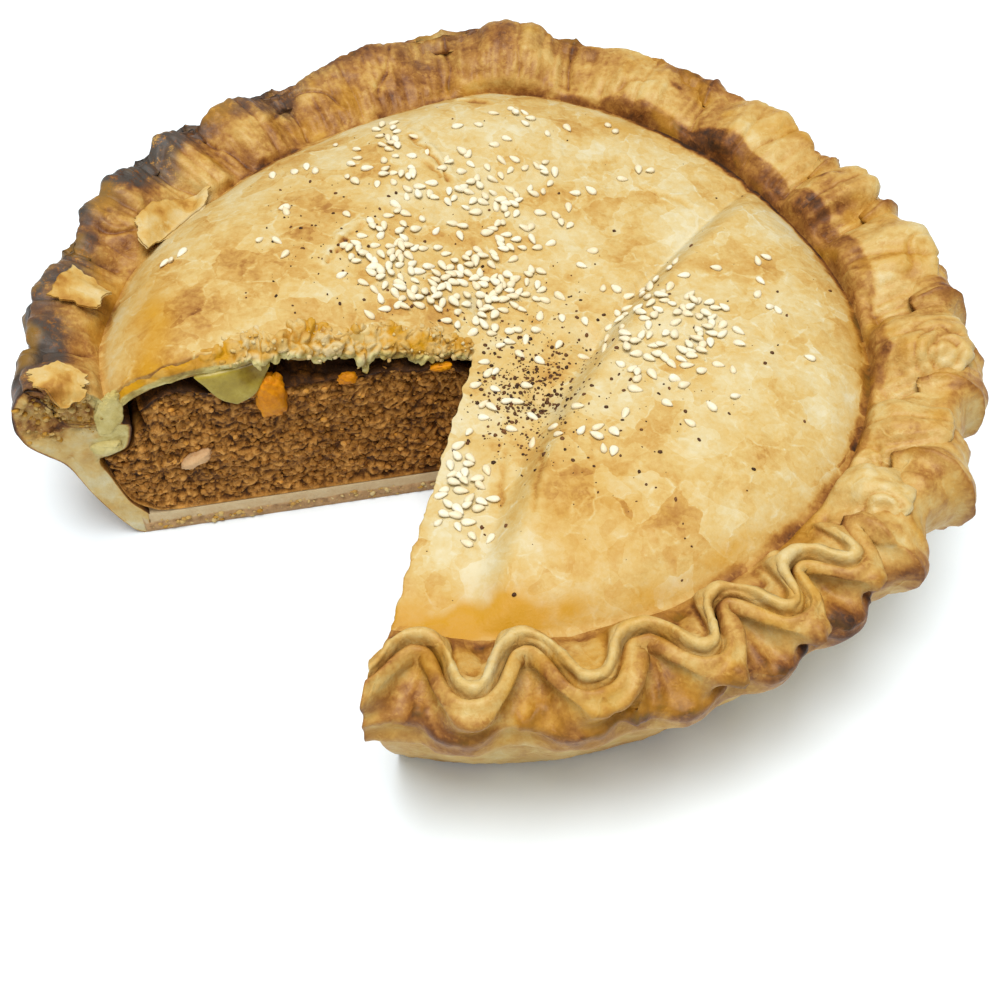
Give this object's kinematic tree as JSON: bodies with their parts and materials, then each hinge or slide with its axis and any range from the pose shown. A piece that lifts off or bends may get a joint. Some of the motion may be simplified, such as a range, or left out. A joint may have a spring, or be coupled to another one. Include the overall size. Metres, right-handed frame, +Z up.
{
  "type": "cheeseburger pie",
  "caption": "Round double-crust savoury pie with a domed, seeded lid and a fluted, crimped rim, one slice cut out to show minced filling, melted cheese and pastry layers.",
  "frame": {"origin": "on the underside of the base, below the middle of the pie's bounding box", "axes": "+Z up through the lid, -Y towards the front crimped rim; the missing slice is at the front left, between -X and -Y"},
  "size_m": [0.2364, 0.235, 0.0613],
  "materials": {
    "bottom_crust_pastry": "dry baked pastry, pale low on the wall, browned and in places dark along the rim",
    "top_crust_pastry": "egg-glazed golden pastry with pale flaky patches and sesame seeds, softly glossy",
    "minced_meat": "coarse cooked mince, brown, moist",
    "melted_cheese": "melted pale cheese, slightly translucent and glossy",
    "cheddar": "soft orange cheese, slightly glossy"
  },
  "bodies": {
    "root": {"bottom_crust": "bottom_crust_pastry", "top_crust": "top_crust_pastry", "meat_filling": "minced_meat", "melted_cheese": "melted_cheese", "cheddar_piece_1": "cheddar", "cheddar_piece_2": "cheddar", "cheddar_piece_3": "cheddar"}
  },
  "joints": []
}
